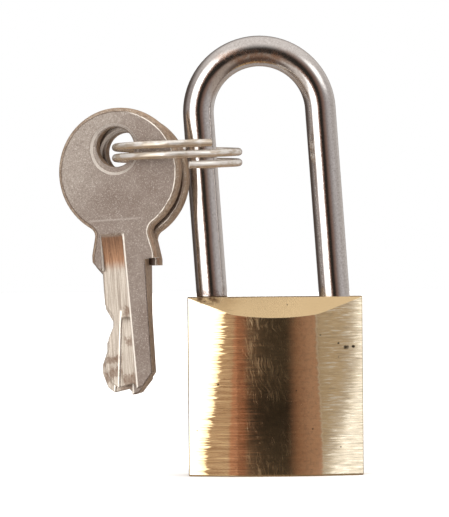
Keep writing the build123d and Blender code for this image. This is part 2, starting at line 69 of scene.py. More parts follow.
class Brass:
    """The body's brushed brass. Places are across the front, or up it."""

    LIGHT = (0.86, 0.655, 0.37)
    DEEP = (0.81, 0.595, 0.32)
    CLOUD = (0.16, 3.0, 0.5, 5.0)
    CLOUD_STEP = (0.35, 0.65)
    GRIME = (1.1, 5.0, 0.65, 9.0)

    # Faces, told apart by the normal: level ends, upright flanks, the front and the bevel.
    ENDS = (0.8, 0.95)
    FLANKS = (0.3, 0.1)
    FRONT = (-0.3, -0.5)
    BEVEL = (0.25, 0.85, 0.05)
    # The bevel is painted a little lighter: a painted highlight on its upward face.
    BEVEL_HIGHLIGHT = (0.88, 0.67, 0.39)
    BEVEL_COAT = 0.7
    EDGE = 0.12
    WORN = 0.12
    WORN_COAT = 0.6

    # The brush's lay on upright and on level faces, and the noise along it.
    SIDE_LAY = (0.13, 0.13, 4.0)
    END_LAY = (0.13, 4.0, 0.0)
    COARSE = (1.0, 4.0, 0.62, 1.0)
    ACROSS = (1.3, 4.0, 0.62, 7.0)
    FINE = (3.6, 3.0, 0.6, 3.0)
    FINE_STEP = (0.3, 0.7, 0.0, 0.22)
    FINE_COLOUR = (0.62, 0.46, 0.26)

    # Scratches: the way across them, their drift, the way along them, their noise and its step.
    SCRATCHES = (
        ((1.0, 0.0, 0.12), 2.2, (0.0, 0.0, 0.22), (1.6, 4.0, 0.65, 13.0), (0.46, 0.78)),
        ((0.8, 0.0, 0.42), 2.6, (-0.1, 0.0, 0.20), (1.6, 4.0, 0.65, 23.0), (0.50, 0.80)),
    )
    SCRATCH_ACROSS = 5.5
    SCRATCH_DEEP = 0.4
    DRIFT = (0.35, 2.0, 0.5, 11.0)
    SCUFFED = (-4.4, 3.4, 1.2)
    PATCH = (0.5, 3.0, 0.6, 15.0)
    PATCH_STEP = (0.36, 0.62)
    CLEAN = (5.5, 12.0, 4.5)
    PATCH_LEAST = 0.45
    PATCH_HAZY = 0.55

    # Pits: a thin scatter, and a few by place: across, up and size.
    SCATTER = 0.34
    SCATTER_SIZE = (0.05, 0.02)
    PITS = (
        (10.1, 18.3, 0.40),
        (9.0, 18.9, 0.15),
        (11.1, 18.4, 0.20),
        (6.4, 20.1, 0.11),
        (-8.2, 13.1, 0.20),
    )
    PIT_SQUEEZE = 0.75
    PIT_UNEVEN = 1.5
    PIT_FLOOR = 0.2
    PIT_COLOUR = (0.06, 0.04, 0.02)

    # Darker patches: under the toe leg on the bevel, and round the bores on the top.
    TOE_WIDE = (-11.4, -8.0, 0.7)
    TOE_HIGH = (24.2, 25.1)
    TOE_SPREAD = (0.36, 0.62)
    TOP_HIGH = (25.0, 25.3)
    TOP_DULL = 0.06
    BORES = (6.2, 11.2, 1.2)
    BORE_GRIME = (0.35, 0.7, 0.0, 0.22)
    DARKENING_COLOUR = (0.20, 0.115, 0.06)

    # Where the flanks' strokes end, by height, and how the strokes turn the normal there.
    TEETH_COARSE = 2.0
    TEETH_ACROSS = 1.2
    LEFT_END = (-2.0, 26.0, -10.5, -7.5)
    LEFT_STRIP = (-0.6, 0.7)
    LEFT_STOP = (-3.0, -4.0)
    LEFT_NORMAL = -0.143
    RIGHT_END = (-3.0, 17.0, 6.6, 10.9)
    RIGHT_TEETH = 0.7
    RIGHT_FOOT = (-2.2, 2.2)
    RIGHT_HALF = (0.0, 0.5)
    RIGHT_NORMAL = ((0.3, 5.6, 0.0, 0.41), (5.6, 9.0, 0.0, 0.09))
    RIGHT_STRIP = (5.5, 5.9)
    # Painted highlight: the white box mirrored on the left flank past the strokes, and on the right
    # foot.
    PALE = (0.96, 0.91, 0.77)
    PALE_LEFT = (0.4, -1.8)
    PALE_LEFT_COAT = 0.85
    PALE_RIGHT_COAT = 0.75

    # Short brush marks on the right flank, with painted streaks of shade and highlight.
    MARKED = (5.3, 8.0)
    MARK_STRETCH = (0.45, 0.45, 4.5)
    MARKS = (1.0, 4.0, 0.65, 19.0)
    MARK_DARK = (0.5, 0.32, 0.0, 0.5)
    MARK_SHADE_COLOUR = (0.46, 0.38, 0.26)
    MARK_LIGHT = (0.48, 0.66, 0.0, 0.65)
    MARK_HIGHLIGHT_COLOUR = (0.97, 0.91, 0.76)
    MARK_TILT = (0.50, 0.68, 0.0, 0.08)

    # Painted reflections: a dark middle, two copper bands whose outer edges slant, and a bright
    # line; and a mottle.
    DARK_MIDDLE = (-4.2, 2.9, 0.8)
    DARK_MIDDLE_SPREAD = (0.3, 0.65, 0.38, 0.60)
    DARK_MIDDLE_HAZY = 0.45
    DARK_MIDDLE_COLOUR = (0.47, 0.37, 0.27)
    RAGGED = (0.6, 3.0, 0.6, 17.0)
    RAGGED_REACH = 0.5
    LEFT_COPPER_INNER = (-3.7, -4.7)
    LEFT_COPPER_EDGE = (0.0, 24.0, -6.7, -5.8)
    LEFT_COPPER_OUTER = (-0.35, 0.35)
    RIGHT_COPPER_INNER = (1.9, 4.5)
    RIGHT_COPPER_EDGE = (0.0, 24.0, 6.6, 5.7)
    RIGHT_COPPER_OUTER = (0.35, -0.35)
    COPPER_REFLECTION_COLOUR = (0.85, 0.40, 0.20)
    COPPER_REFLECTION_COAT = 0.64
    MOTTLED = (-6.0, 6.2, 0.4)
    MOTTLE = (2.4, 4.0, 0.65, 21.0)
    MOTTLE_STEP = (0.42, 0.7, 0.0, 0.4)
    MOTTLE_COLOUR = (0.42, 0.27, 0.16)
    CREST = (0.0, 0.22, 0.12)
    CREST_GRIME = (0.3, 0.6, 0.15, 0.6)
    CREST_HIGHLIGHT = (0.97, 0.80, 0.55)

    # Roughness, and how far the normal sways across the face and nods up it.
    ROUGH = 0.16
    ROUGH_FINE = 0.14
    ROUGH_SMOOTH = -0.06
    ROUGH_SCUFFED = 0.26
    ROUGH_DARKENING = 0.2
    SMOOTH = (-4.4, 3.2, 0.8)
    EDGE_PLAIN = (0.4, 0.0)
    SWAY_ACROSS = 0.07
    SWAY_SCUFFED = -0.10
    SWAY_COARSE = 0.10
    CROWN = (-5.6, 5.6, 0.4)
    CALM_CROWN = -0.65
    CALM_BEVEL = -0.5
    NOD_COARSE = 0.10
    NOD_FINE = 0.12
    NOD_FOOT = 0.24
    ANISOTROPIC = 0.55
    ANISOTROPIC_TURN = 0.25


class Turned:
    """Plainer brass. Each kind has a light and a deep colour and a stretch."""

    PLUG = ((0.80, 0.60, 0.33), (0.66, 0.46, 0.23), (1.0, 1.0, 3.0))
    SLUG = ((0.84, 0.62, 0.34), (0.72, 0.50, 0.26), (0.3, 0.3, 4.0))
    PIN = ((0.82, 0.62, 0.35), (0.70, 0.50, 0.27), (3.0, 3.0, 3.0))
    GRIME = (1.3, 5.0, 0.6, 2.0)
    GRIME_STEP = (0.35, 0.7)
    MARKS = (1.0, 3.0, 0.6, 4.0)
    EDGE = 0.06
    WORN = 0.12
    WORN_COAT = 0.5
    ROUGH = 0.24
    ROUGH_MARKS = 0.18
    TILT_MARKS = 0.06
    TILT_GRIME = 0.04


class Plating:
    """The shackle's plated steel."""

    LIGHT = (0.83, 0.805, 0.79)
    DEEP = (0.76, 0.73, 0.71)
    DRAWN_STRETCH = (2.2, 2.2, 0.12)
    DRAWN = (1.0, 3.0, 0.6, 3.0)
    DRAWN_STEP = (0.3, 0.7)
    GRIME = (1.4, 5.0, 0.65, 8.0)
    WAVE = (0.22, 2.0, 0.5, 1.0)
    SWELL = (0.3, 2.0, 0.5, 13.0)
    SPECK = (5.0, 3.0, 0.6, 5.0)
    SPOTS = (0.66, 0.74)
    SPOT_COLOUR = (0.40, 0.35, 0.32)
    SPOT_COAT = 0.35
    MOTTLE = (2.6, 4.0, 0.7, 15.0)
    MOTTLE_STEP = (0.35, 0.7, 0.0, 0.4)
    MOTTLE_COLOUR = (0.60, 0.56, 0.54)
    GRIT = (3.6, 4.0, 0.75, 17.0)
    GRIT_DARK = (0.50, 0.68, 0.0, 0.5)
    GRIT_DARK_COLOUR = (0.46, 0.42, 0.40)
    GRIT_LIGHT = (0.46, 0.32, 0.0, 0.6)
    GRIT_LIGHT_COLOUR = (0.98, 0.96, 0.95)

    # A warm patch rubbed into the front of the bow, by the weighted square of the distance.
    RUBBED_AT = (-2.6, -1.9, 59.9)
    RUBBED_WEIGHTS = (0.035, 0.5, 0.8)
    RUBBED = (1.5, 0.4)
    RUBBED_GRIME = (0.3, 0.6)
    RUBBED_COLOUR = (0.52, 0.28, 0.155)

    # Darker brown towards the toe leg's foot.
    FOOT_HIGH = (27.6, 25.7)
    FOOT_WIDE = (-6.0, -7.0)
    FOOT_SPREAD = (0.38, 0.62)
    FOOT_COLOUR = (0.22, 0.11, 0.07)
    BROWN_COAT = 0.85

    ROUGH = 0.11
    ROUGH_DRAWN = 0.06
    ROUGH_SPOTS = 0.15
    ROUGH_BROWN = 0.14
    EDGE = 0.08
    TILT_WAVE = 0.03
    TILT_DRAWN = 0.02
    TILT_GRIT = 0.05
    TILT_SWELL = 0.02
    TILT_SPECK = 0.012


class Ring:
    """The ring's nickel wire."""

    LIGHT = (0.92, 0.90, 0.86)
    DEEP = (0.80, 0.77, 0.72)
    GRIME = (1.6, 4.0, 0.6, 2.0)
    SCRATCH_STRETCH = (0.9, 0.9, 7.0)
    SCRATCH = (1.0, 3.0, 0.6, 4.0)
    SCRATCH_STEP = (0.3, 0.7)
    PATCH_STRETCH = (0.32, 0.32, 0.9)
    PATCH = (1.0, 3.0, 0.6, 6.0)
    PATCH_STEP = (0.45, 0.60, 0.0, 0.8)
    PATCH_COLOUR = (0.50, 0.41, 0.31)
    # Painted shade: the wire's underside and top darkened to a warm brown.
    UNDER = (0.05, -0.55)
    UNDER_SPREAD = (0.2, 0.6, 0.6, 1.0)
    UNDER_COAT = 0.92
    OVER = (0.70, 0.95)
    OVER_SPREAD = (0.3, 0.6, 0.3, 1.0)
    OVER_COAT = 0.55
    EDGE_SHADE_COLOUR = (0.42, 0.30, 0.19)
    METALLIC = 0.6
    ROUGH = 0.14
    ROUGH_SCRATCH = 0.14
    EDGE = 0.15
    TILT_GRIME = 0.06
    TILT_SCRATCH = (0.04, 0.06)


class Wire:
    """The springs' drawn wire."""

    LIGHT = (0.52, 0.51, 0.50)
    DEEP = (0.40, 0.39, 0.38)
    DRAWN = (3.0, 3.0, 0.6, 2.0)
    DRAWN_STEP = (0.3, 0.7)
    ROUGH = 0.2
    ROUGH_DRAWN = 0.15


class Ground:
    """Ground steel."""

    LIGHT = (0.62, 0.61, 0.60)
    DEEP = (0.48, 0.47, 0.46)
    MARK_STRETCH = (6.0, 1.0, 1.0)
    MARKS = (1.0, 3.0, 0.6, 6.0)
    MARK_STEP = (0.3, 0.7)
    ROUGH = 0.22
    ROUGH_MARKS = 0.2
    EDGE = 0.06
    TILT = 0.05


class Key:
    """The keys' nickel. Places are from a key's hole: across its face, up it and out of it."""

    YAW = math.radians(19.0)
    FACING = Vector((-math.sin(YAW), -math.cos(YAW), 0.0))
    LEVEL = Vector((math.cos(YAW), -math.sin(YAW), 0.0))

    # Each key's hole in the part's frame, its lean, and a number added to its noises' seeds.
    FRONT = ((-22.430, -1.195, 47.14), math.radians(3.4), 1.0)
    REAR = ((-21.115, 0.626, 46.34), 0.0, 21.0)

    # The face: paler towards the bow's upper left, with flecks, grain and a line at the neck.
    LIGHT = (0.285, 0.235, 0.205)
    DEEP = (0.225, 0.175, 0.15)
    CLOUD = (0.35, 3.0, 0.55, 5.0)
    CLOUD_STEP = (0.3, 0.7)
    UPPER_LEFT_WAY = (1.0, -0.7, 0.0)
    UPPER_LEFT = (4.0, -5.0)
    PALE = (0.47, 0.42, 0.375)
    PALE_COAT = 0.55
    FLECKS = (2.3, 4.0, 0.7, 19.0)
    FLECK_LEAST = 0.35
    FLECK_UPPER_LEFT = 0.65
    FLECK_LIGHT = (0.52, 0.70, 0.0, 0.6)
    FLECK_LIGHT_COLOUR = (0.66, 0.60, 0.54)
    FLECK_DARK = (0.46, 0.30, 0.0, 0.6)
    FLECK_DARK_COLOUR = (0.17, 0.135, 0.11)
    GRIME = (1.2, 5.0, 0.65, 7.0)
    GRAIN = (6.0, 3.0, 0.7, 0.0)
    GRAIN_STEP = (0.25, 0.75, 0.0, 0.5)
    GRAIN_COLOUR = (0.20, 0.16, 0.13)
    SPECK = (9.0, 2.0, 0.6, 13.0)
    SPECK_STEP = (0.56, 0.68)
    SPECK_COLOUR = (0.66, 0.61, 0.56)
    SPECK_COAT = 0.65
    NECK = (-10.5, -10.25, 0.08)
    NECK_WAVER = 0.12
    NECK_WIDE = (-4.5, 3.0, 0.6)
    NECK_GRAIN = (0.3, 0.6, 0.05, 0.3)

    # The rolled rim, told by how far the normal departs from the face's own.
    BOW_MIDDLE = (0.3, -3.6, 0.0)
    BOW_RIM = (7.4, 8.0)
    SHOULDER_RIM = (-11.0, -12.0)
    RIM_STOP = (-17.0, -16.0)
    RIM = (0.995, 0.93)
    RIM_COAT = 0.9
    TAN_LIGHT = (0.44, 0.34, 0.25)
    TAN_DEEP = (0.24, 0.165, 0.11)
    TAN_GRIME = (0.3, 0.65)
    TAN_SPECK = (0.80, 0.74, 0.66)
    TAN_SPECK_COAT = 0.8
    HAIR_STRETCH = (4.5, 0.8, 1.0)
    HAIR = (1.0, 4.0, 0.6, 3.0)
    # The crease is painted dark as shade on the left, and as a bright glint on the right.
    CREASE = (0.970, 0.996, 0.006)
    CREASE_STOP = (0.9996, 0.998)
    CREASE_GRIME = 0.022
    CREASE_HAIR = 0.012
    CREASE_COAT = 0.8
    CREASE_SHADE = (0.12, 0.08, 0.055)
    RIGHT = (1.0, 4.5)
    GLINT_GRIME = (0.3, 0.5, 0.4, 1.0)
    GLINT_TILT = 2.0
    BRIGHT = (0.88, 0.82, 0.74)

    # The sides, streaked dark brown as painted shade.
    SIDE = (0.75, 0.35)
    SIDE_LIGHT = (0.46, 0.33, 0.225)
    SIDE_DEEP = (0.20, 0.13, 0.085)
    SIDE_GRIME = (0.25, 0.6, 0.7, 1.0)
    STREAK_STRETCH = (1.6, 1.6, 7.0)
    STREAK = (1.0, 4.0, 0.65, 17.0)
    STREAK_STEP = (0.35, 0.65)

    # The milled strokes: striped, browned at their start, with smudges near the tip.
    BLADE = (-11.6, -12.6)
    MILLED_DEEP = (0.90, 0.75)
    MILLED_FACE = (0.5, 0.8)
    STRIPE_STRETCH = (5.5, 0.16, 1.0)
    STRIPE = (1.0, 3.0, 0.65, 9.0)
    STRIPE_STEP = (0.35, 0.65)
    CREAM_LIGHT = (0.52, 0.46, 0.395)
    CREAM_DEEP = (0.27, 0.225, 0.185)
    CREAM_GRAIN = (0.35, 0.8, 0.0, 0.4)
    CREAM_GRAIN_COLOUR = (0.24, 0.20, 0.165)
    START = (-18.0, -16.0)
    START_WAVER = 0.8
    START_LIGHT = (0.35, 0.195, 0.115)
    START_DEEP = (0.21, 0.115, 0.07)
    SMEAR_STRETCH = (2.4, 1.5, 1.0)
    SMEAR = (1.0, 4.0, 0.65, 15.0)
    SMEAR_STEP = (0.25, 0.6, 1.0, 0.55)

    # Smudges: from and to across, then from and to below the hole.
    SMUDGES = (
        (-0.6, 0.7, 22.9, 24.2),
        (-0.7, 0.8, 27.3, 28.5),
        (-3.8, -1.4, 29.8, 30.9),
        (-3.4, -1.5, 31.4, 33.0),
        (-1.3, 1.2, 32.6, 34.3),
    )
    SMUDGE_SOFT = 0.3
    SMUDGE_WANDER = (1.1, 1.3)
    SMUDGE_COLOUR = (0.13, 0.075, 0.048)

    # Painted highlights along the lips of the two strokes: place across, slant, start below the
    # hole, how fast they start, and their band.
    LIP = (0.3, 0.03, 12.3, 0.3, (-0.10, 0.26, 0.06))
    LIP_OUT = (0.78, 0.86)
    LIP_FACE = (0.7, 0.9)
    LIP_COAT = 0.95
    RIDGE = (-0.8, -0.1, 23.2, 0.4, (-0.26, 0.04, 0.05))
    RIDGE_GRIME = (0.25, 0.5, 0.5, 1.0)

    # Other painted highlights: the strokes' walls, the worn edges and the hole's dish.
    WALL = (0.4, 0.7)
    WALL_WIDE = (1.0, 0.6)
    WALL_OUT = (-0.1, 0.1)
    EDGE = 0.22
    WORN = 0.10
    WORN_GRIME = (0.3, 0.55, 0.5, 1.0)
    DISH = (2.95, 4.1, 0.1)
    DISH_FACE = (0.45, 0.93, 0.03)
    DISH_LIGHT = (1.5, -3.0, 0.12, 0.5)

    BROWN_DIELECTRIC = 0.6
    ROUGH = 0.40
    ROUGH_GRAIN = 0.16
    ROUGH_MILLED = -0.12
    SWAY_HAIR = 0.10
    SWAY_GRAIN = 0.22
    NOD = (8.0, 2.0, 0.6, 11.0)
    NOD_REACH = 0.20


class Studio:
    """The light round the part. Colours are shares of PEAK in the ramps, which hold up to 1."""

    PEAK = 8.0
    SEEN = (1.0, 1.0, 1.0)
    TOP = (0.82, 0.775, 0.74)
    LOW = (0.40, 0.325, 0.27)
    GROUND = (0.10, 0.065, 0.05)
    GROUND_BEHIND = (0.44, 0.40, 0.38)
    WHITE = (2.4, 2.38, 2.34)
    CARD = (1.95, 1.92, 1.88)
    DARK = (0.026, 0.022, 0.018)
    BROWN = (0.31, 0.155, 0.11)

    # The light round the horizon: degrees from the front, to the right, and its colour. The
    # front is the middle of the ramp.
    FULL_TURN = 360
    FRONT_STOP = 0.5
    ROUND_ABOUT = (
        (-180, (0.12, 0.10, 0.09)),
        (-140, (0.09, 0.07, 0.06)),
        (-118, (0.10, 0.08, 0.07)),
        (-106, (0.24, 0.205, 0.19)),
        (-96, (0.38, 0.335, 0.32)),
        (-84, (0.40, 0.35, 0.335)),
        (-72, (0.38, 0.325, 0.305)),
        (-59, WHITE),
        (-25.5, WHITE),
        (-21, (0.50, 0.36, 0.29)),
        (-14, BROWN),
        (-12, (0.08, 0.052, 0.04)),
        (-8, DARK),
        (8, DARK),
        (16, (0.15, 0.09, 0.07)),
        (26, (0.25, 0.165, 0.135)),
        (33, (0.27, 0.21, 0.19)),
        (40, (0.31, 0.275, 0.265)),
        (56, (0.47, 0.44, 0.43)),
        (73, (0.54, 0.51, 0.50)),
        (94, (0.49, 0.455, 0.435)),
        (118, (0.52, 0.485, 0.46)),
        (142, (0.66, 0.62, 0.59)),
        (164, (0.40, 0.35, 0.32)),
        (180, (0.12, 0.10, 0.09)),
    )

    # Steps and bands of the light by its rise and its turn, in radians. BEHIND goes by the
    # part of its direction that points back.
    ABOVE = (math.radians(14), math.radians(62))
    BELOW = (math.radians(-9), math.radians(-25))
    BELOW_COAT = 0.85
    DEEP = (math.radians(-34), math.radians(-56))
    DEEP_COAT = 0.9
    BEHIND = (-0.05, 0.25)
    CARD_TURN = (math.radians(42), math.radians(76), 0.2)
    CARD_RISE = (0.36, 0.70, 0.16)

    # The floor, whose reach is in metres, and the lamp over it.
    FLOOR_REACH = 1.6
    FLOOR_COLOUR = (0.93, 0.93, 0.93)
    FLOOR_ROUGH = 0.9
    LAMP_SPREAD = math.radians(80)
    LAMP_ENERGY = 3.0


class View:
    """The camera: lens and sensor, rise and roll, aim, the photograph's scale, clips in metres."""

    LENS = 400.0
    SENSOR = 36.0
    RISE = math.radians(0.6)
    ROLL = math.radians(-0.5)
    TARGET = (-7.14, -3.0, 31.07)
    PIXELS_HIGH = 517
    PIXELS_PER_MM = 7.0
    CLIP_START = 0.01
    CLIP_END = 20.0


class Graph:
    """Short calls that add nodes to one material's or world's tree and link them."""

    def __init__(self, owner):
        owner.use_nodes = True
        self.tree = owner.node_tree
        self.tree.nodes.clear()

    def add(self, kind, inputs=None, **settings):
        node = self.tree.nodes.new(kind)
        for name, value in settings.items():
            setattr(node, name, value)
        for key, value in (inputs or {}).items():
            self.feed(node.inputs[key], value)
        return node

    def feed(self, socket, value):
        if isinstance(value, bpy.types.NodeSocket):
            self.tree.links.new(value, socket)
        elif socket.type == "RGBA":
            socket.default_value = (*value, 1.0)
        else:
            socket.default_value = value

    def math(self, operation, a, b=0.0):
        return self.add("ShaderNodeMath", {0: a, 1: b}, operation=operation).outputs[0]

    def plus(self, a, b):
        return self.math("ADD", a, b)

    def less(self, a, b):
        return self.math("SUBTRACT", a, b)

    def flip(self, a):
        return self.less(1.0, a)

    def times(self, product, *factors):
        for factor in factors:
            product = self.math("MULTIPLY", product, factor)
        return product

    def summed(self, base, *parts):
        """A base with every part added, each in its share."""
        for part, share in parts:
            base = self.plus(base, self.times(part, share))
        return base

    def larger(self, a, b):
        return self.math("MAXIMUM", a, b)

    def absolute(self, a):
        return self.math("ABSOLUTE", a)

    def vector(self, operation, a, b=(0, 0, 0)):
        node = self.add("ShaderNodeVectorMath", {0: a, 1: b}, operation=operation)
        return node.outputs["Vector"]

    def stretch(self, a, factors):
        return self.vector("MULTIPLY", a, factors)

    def dot(self, a, b):
        node = self.add("ShaderNodeVectorMath", {0: a, 1: b}, operation="DOT_PRODUCT")
        return node.outputs["Value"]

    def length(self, a):
        return self.math("SQRT", self.dot(a, a))

    def scaled(self, a, factor):
        node = self.add("ShaderNodeVectorMath", {0: a, "Scale": factor}, operation="SCALE")
        return node.outputs["Vector"]

    def split(self, vector):
        return self.add("ShaderNodeSeparateXYZ", {0: vector}).outputs

    def join(self, x, y, z):
        return self.add("ShaderNodeCombineXYZ", {0: x, 1: y, 2: z}).outputs[0]

    def step(self, value, start, end, at_start=0.0, at_end=1.0):
        """A smooth step from at_start to at_end as value goes from start to end."""
        node = self.add(
            "ShaderNodeMapRange",
            {
                "Value": value,
                "From Min": start,
                "From Max": end,
                "To Min": at_start,
                "To Max": at_end,
            },
            interpolation_type="SMOOTHSTEP",
        )
        return node.outputs["Result"]

    def between(self, value, low, high, soft):
        """One between low and high, falling to nothing over soft on either side."""
        rise = self.step(value, low - soft, low + soft)
        fall = self.step(value, high + soft, high - soft)
        return self.times(rise, fall)

    def mix(self, factor, a, b):
        node = self.add("ShaderNodeMix", data_type="RGBA")
        self.feed(node.inputs[0], factor)
        self.feed(node.inputs[MIX_FIRST], a)
        self.feed(node.inputs[MIX_SECOND], b)
        return node.outputs[MIX_RESULT]

    def over(self, colour, coat, *shares):
        """A colour with a coat over it, as dense as the product of the shares."""
        return self.mix(self.times(*shares), colour, coat)

    def noise(self, vector, scale, detail, roughness, seed):
        """Noise from 0 to 1, its seed a fourth dimension."""
        node = self.add(
            "ShaderNodeTexNoise",
            {
                "Vector": vector,
                "W": seed,
                "Scale": scale,
                "Detail": detail,
                "Roughness": roughness,
            },
            noise_dimensions="4D",
        )
        return node.outputs[0]

    def centred(self, noise, reach):
        """Noise turned to values from -reach to reach."""
        return self.times(self.less(noise, NOISE_MEAN), 2 * reach)

    def cells(self, vector, scale):
        node = self.add("ShaderNodeTexVoronoi", {"Vector": vector, "Scale": scale})
        return node.outputs["Distance"]

    def ramp(self, factor, stops):
        node = self.add("ShaderNodeValToRGB", {0: factor})
        elements = node.color_ramp.elements
        while len(elements) > 1:
            elements.remove(elements[-1])
        elements[0].position, colour = stops[0]
        elements[0].color = (*colour, 1.0)
        for position, colour in stops[1:]:
            elements.new(position).color = (*colour, 1.0)
        return node.outputs[0]

    def place(self):
        """The surface's place in millimetres, in the object's own frame."""
        return self.scaled(self.add("ShaderNodeTexCoord").outputs["Object"], 1 / MM)

    def own_normal(self):
        """The surface's normal in the object's own frame."""
        return self.add("ShaderNodeTexCoord").outputs["Normal"]

    def edge_normal(self, radius):
        """The normal with the edges rounded over by a radius in millimetres."""
        node = self.add("ShaderNodeBevel", {"Radius": radius * MM}, samples=EDGE_SAMPLES)
        return node.outputs[0]

    def worn(self, rounded, full):
        """One on edges, where the rounded normal departs from the true one by full or more."""
        true = self.add("ShaderNodeNewGeometry").outputs["Normal"]
        return self.step(self.flip(self.dot(rounded, true)), WEAR_START, full)

    def tilt(self, normal, tilts):
        """The normal tilted by a vector in the object's own frame."""
        turned = self.add(
            "ShaderNodeVectorTransform",
            {0: tilts},
            vector_type="VECTOR",
            convert_from="OBJECT",
            convert_to="WORLD",
        ).outputs[0]
        return self.vector("NORMALIZE", self.vector("ADD", normal, turned))

    def surface(self, colour, rough, metallic=1.0, **inputs):
        """The material's shader, whose other inputs have underscores for spaces."""
        named = {name.replace("_", " "): value for name, value in inputs.items()}
        shader = self.add(
            "ShaderNodeBsdfPrincipled",
            {"Base Color": colour, "Metallic": metallic, "Roughness": rough, **named},
        )
        self.add("ShaderNodeOutputMaterial", {"Surface": shader.outputs[0]})


def material(name):
    made = bpy.data.materials.new(name)
    return made, Graph(made)


def dress(material_made, *names):
    for name in names:
        mesh = nodes[name].data
        mesh.materials.clear()
        mesh.materials.append(material_made)


def brass_base(g):
    """What the brass's parts share: places, faces and noise."""
    p = g.place()
    x, y, z = g.split(p)
    flat = g.split(g.own_normal())
    steep = g.absolute(flat[2])
    ends = g.step(steep, *Brass.ENDS)
    lay = g.mix(ends, g.stretch(p, Brass.SIDE_LAY), g.stretch(p, Brass.END_LAY))
    return SimpleNamespace(
        p=p,
        x=x,
        y=y,
        z=z,
        flat=flat,
        ends=ends,
        flanks=g.step(steep, *Brass.FLANKS),
        front=g.step(flat[1], *Brass.FRONT),
        bevel=g.between(flat[2], *Brass.BEVEL),
        lay=lay,
        coarse=g.noise(lay, *Brass.COARSE),
        across=g.noise(lay, *Brass.ACROSS),
        fine=g.noise(lay, *Brass.FINE),
        grime=g.noise(p, *Brass.GRIME),
        clean=g.between(z, *Brass.CLEAN),
    )


def brass_scuffs(g, b):
    """Fine scratches over the middle of the faces, upright and slanted, in patches."""
    drift = g.noise(b.p, *Brass.DRIFT)
    hairs = 0.0
    for across, drifted, along, noise, cut in Brass.SCRATCHES:
        bent = g.summed(g.dot(b.p, across), (drift, drifted))
        run = g.join(
            g.times(bent, Brass.SCRATCH_ACROSS),
            g.times(b.y, Brass.SCRATCH_DEEP),
            g.dot(b.p, along),
        )
        hairs = g.larger(hairs, g.step(g.noise(run, *noise), *cut))
    patch = g.step(g.noise(b.p, *Brass.PATCH), *Brass.PATCH_STEP)
    hazy = g.summed(Brass.PATCH_LEAST, (g.flip(b.clean), Brass.PATCH_HAZY))
    return g.times(hairs, g.between(b.x, *Brass.SCUFFED), g.times(patch, hazy))


def brass_pits(g, b):
    """Pits in the front: a thin scatter, and a few by place."""
    pits = g.step(g.cells(b.p, Brass.SCATTER), *Brass.SCATTER_SIZE)
    squeezed = g.stretch(b.p, (Brass.PIT_SQUEEZE, 0.0, 1.0))
    for across, up, size in Brass.PITS:
        away = g.vector("SUBTRACT", squeezed, (across * Brass.PIT_SQUEEZE, 0.0, up))
        area = size * size
        apart = g.plus(g.dot(away, away), g.centred(b.grime, area * Brass.PIT_UNEVEN))
        pits = g.larger(pits, g.step(apart, area, area * Brass.PIT_FLOOR))
    return g.times(pits, b.front)


def brass_darkening(g, b):
    """A darker patch under the toe leg on the bevel, and a faint one round the bores on the top."""
    toe = g.times(
        g.between(b.x, *Brass.TOE_WIDE),
        g.step(b.z, *Brass.TOE_HIGH),
        g.step(b.grime, *Brass.TOE_SPREAD),
    )
    top = g.times(b.ends, g.step(b.z, *Brass.TOP_HIGH))
    bores = g.between(g.absolute(b.x), *Brass.BORES)
    dulled = g.summed(Brass.TOP_DULL, (bores, g.step(b.grime, *Brass.BORE_GRIME)))
    return g.larger(toe, g.times(top, dulled))


def brass_strokes(g, b):
    """The flanks' strokes: they end in ragged teeth, along lines that slant down the face."""
    teeth = g.plus(
        g.centred(b.coarse, Brass.TEETH_COARSE), g.centred(b.across, Brass.TEETH_ACROSS)
    )
    past_left = g.less(b.x, g.plus(g.step(b.z, *Brass.LEFT_END), teeth))
    right_end = g.summed(g.step(b.z, *Brass.RIGHT_END), (teeth, Brass.RIGHT_TEETH))
    foot = g.times(g.step(g.less(b.x, right_end), *Brass.RIGHT_FOOT), b.flanks)

    # They leave the left flank's inner part less steep, and the right half rounder, than pressed.
    left = g.times(g.step(past_left, *Brass.LEFT_STRIP), g.step(b.x, *Brass.LEFT_STOP))
    left_turn = g.times(left, g.larger(g.less(Brass.LEFT_NORMAL, b.flat[0]), 0.0))
    rounder = g.plus(*(g.step(b.x, *part) for part in Brass.RIGHT_NORMAL))
    right = g.step(b.x, *Brass.RIGHT_HALF)
    right_turn = g.times(right, g.larger(g.less(rounder, b.flat[0]), 0.0))
    return SimpleNamespace(
        past_left=past_left,
        foot=foot,
        turn=g.times(b.flanks, b.front, g.plus(left_turn, right_turn)),
        marks=g.noise(g.stretch(b.p, Brass.MARK_STRETCH), *Brass.MARKS),
        marked=g.times(g.step(b.x, *Brass.MARKED), b.flanks, b.front),
    )


